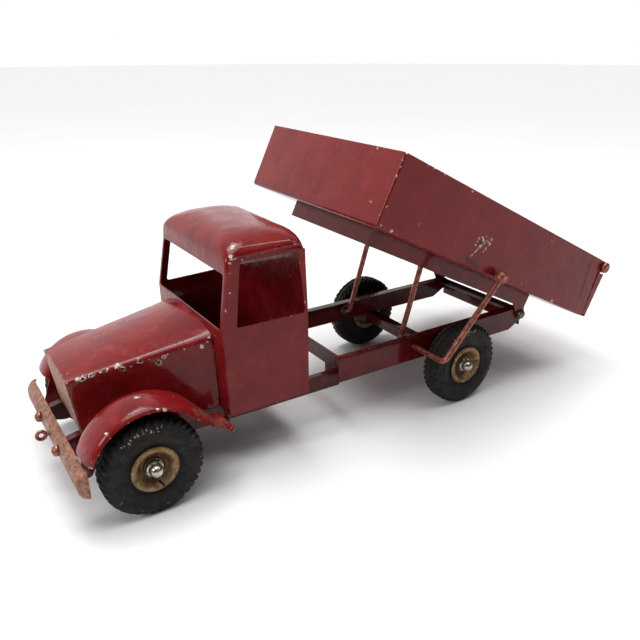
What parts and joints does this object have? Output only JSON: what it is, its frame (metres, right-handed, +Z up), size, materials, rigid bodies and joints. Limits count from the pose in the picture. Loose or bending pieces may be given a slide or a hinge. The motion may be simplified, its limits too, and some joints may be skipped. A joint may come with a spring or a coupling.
{
  "type": "toy dump truck",
  "caption": "Pressed-steel toy tipping lorry with open cab, tilting bed worked by a side lever, hinged tailgate and rubber-tyred free-rolling wheels.",
  "frame": {"origin": "on the floor below the centre of the overall box", "axes": "+X towards the hood, +Y to the driver's left where the lever is, +Z up"},
  "size_m": [0.4922, 0.1934, 0.2205],
  "materials": {
    "red_paint": "gloss, worn",
    "copper_plate": "worn satin",
    "brass_plate": "tarnished",
    "nickel_plate": "polished, tarnished",
    "plain_steel": "dull",
    "black_rubber": "matte"
  },
  "bodies": {
    "chassis": {"front_frame": "red_paint", "left_rail": "red_paint", "right_rail": "red_paint", "front_cross_member": "red_paint", "rear_cross_member": "red_paint", "rear_axle_housing": "red_paint", "front_axle_brackets": "red_paint", "front_axle": "plain_steel", "rear_axle": "plain_steel", "axle_caps": "nickel_plate", "axle_collars": "plain_steel", "hinge_rod": "red_paint", "bumper": "copper_plate", "bumper_bolts": "copper_plate", "bumper_nuts": "plain_steel", "tow_eye": "copper_plate", "hood": "red_paint", "grille_panel": "copper_plate", "cab_shell": "red_paint", "cab_back": "red_paint", "left_fender": "red_paint", "right_fender": "red_paint", "left_step_bracket": "red_paint", "right_step_bracket": "red_paint"},
    "bed": {"bed_tray": "red_paint", "bed_subframe": "red_paint", "bed_saddle": "red_paint", "gate_rod": "red_paint"},
    "gate": {"tailgate": "red_paint"},
    "lever": {"lift_rod": "copper_plate", "lever_knob": "nickel_plate", "lever_collars": "plain_steel"},
    "wheel_front_left": {"tyre_front_left": "black_rubber", "hub_outer_front_left": "brass_plate", "hub_inner_front_left": "brass_plate"},
    "wheel_front_right": {"tyre_front_right": "black_rubber", "hub_outer_front_right": "brass_plate", "hub_inner_front_right": "brass_plate"},
    "wheel_rear_left": {"tyre_rear_left": "black_rubber", "hub_outer_rear_left": "brass_plate", "hub_inner_rear_left": "brass_plate"},
    "wheel_rear_right": {"tyre_rear_right": "black_rubber", "hub_outer_rear_right": "brass_plate", "hub_inner_rear_right": "brass_plate"}
  },
  "joints": [
    {"name": "bed_tilt", "type": "hinge", "parent": "chassis", "child": "bed", "pos_m": [-0.17496, 0, 0.0532], "axis": [0, 1, 0], "range_deg": [0, 26.24]},
    {"name": "lift_lever", "type": "hinge", "parent": "chassis", "child": "lever", "pos_m": [-0.04706, 0, 0.0527], "axis": [0, 1, 0], "range_deg": [0, 105.2]},
    {"name": "tailgate_swing", "type": "hinge", "parent": "bed", "child": "gate", "pos_m": [-0.2397, 0, 0.09632], "axis": [0, 1, 0], "range_deg": [0, 90]},
    {"name": "wheel_front_left_spin", "type": "hinge", "parent": "chassis", "child": "wheel_front_left", "pos_m": [0.18844, 0.06665, 0.035], "axis": [0, 1, 0], "continuous": true},
    {"name": "wheel_front_right_spin", "type": "hinge", "parent": "chassis", "child": "wheel_front_right", "pos_m": [0.18844, -0.07335, 0.035], "axis": [0, 1, 0], "continuous": true},
    {"name": "wheel_rear_left_spin", "type": "hinge", "parent": "chassis", "child": "wheel_rear_left", "pos_m": [-0.08456, 0.06665, 0.035], "axis": [0, 1, 0], "continuous": true},
    {"name": "wheel_rear_right_spin", "type": "hinge", "parent": "chassis", "child": "wheel_rear_right", "pos_m": [-0.08456, -0.07335, 0.035], "axis": [0, 1, 0], "continuous": true}
  ],
  "couplings": [
    {"joint": "lift_lever", "follows": "bed_tilt", "ratio": 4.0015}
  ]
}
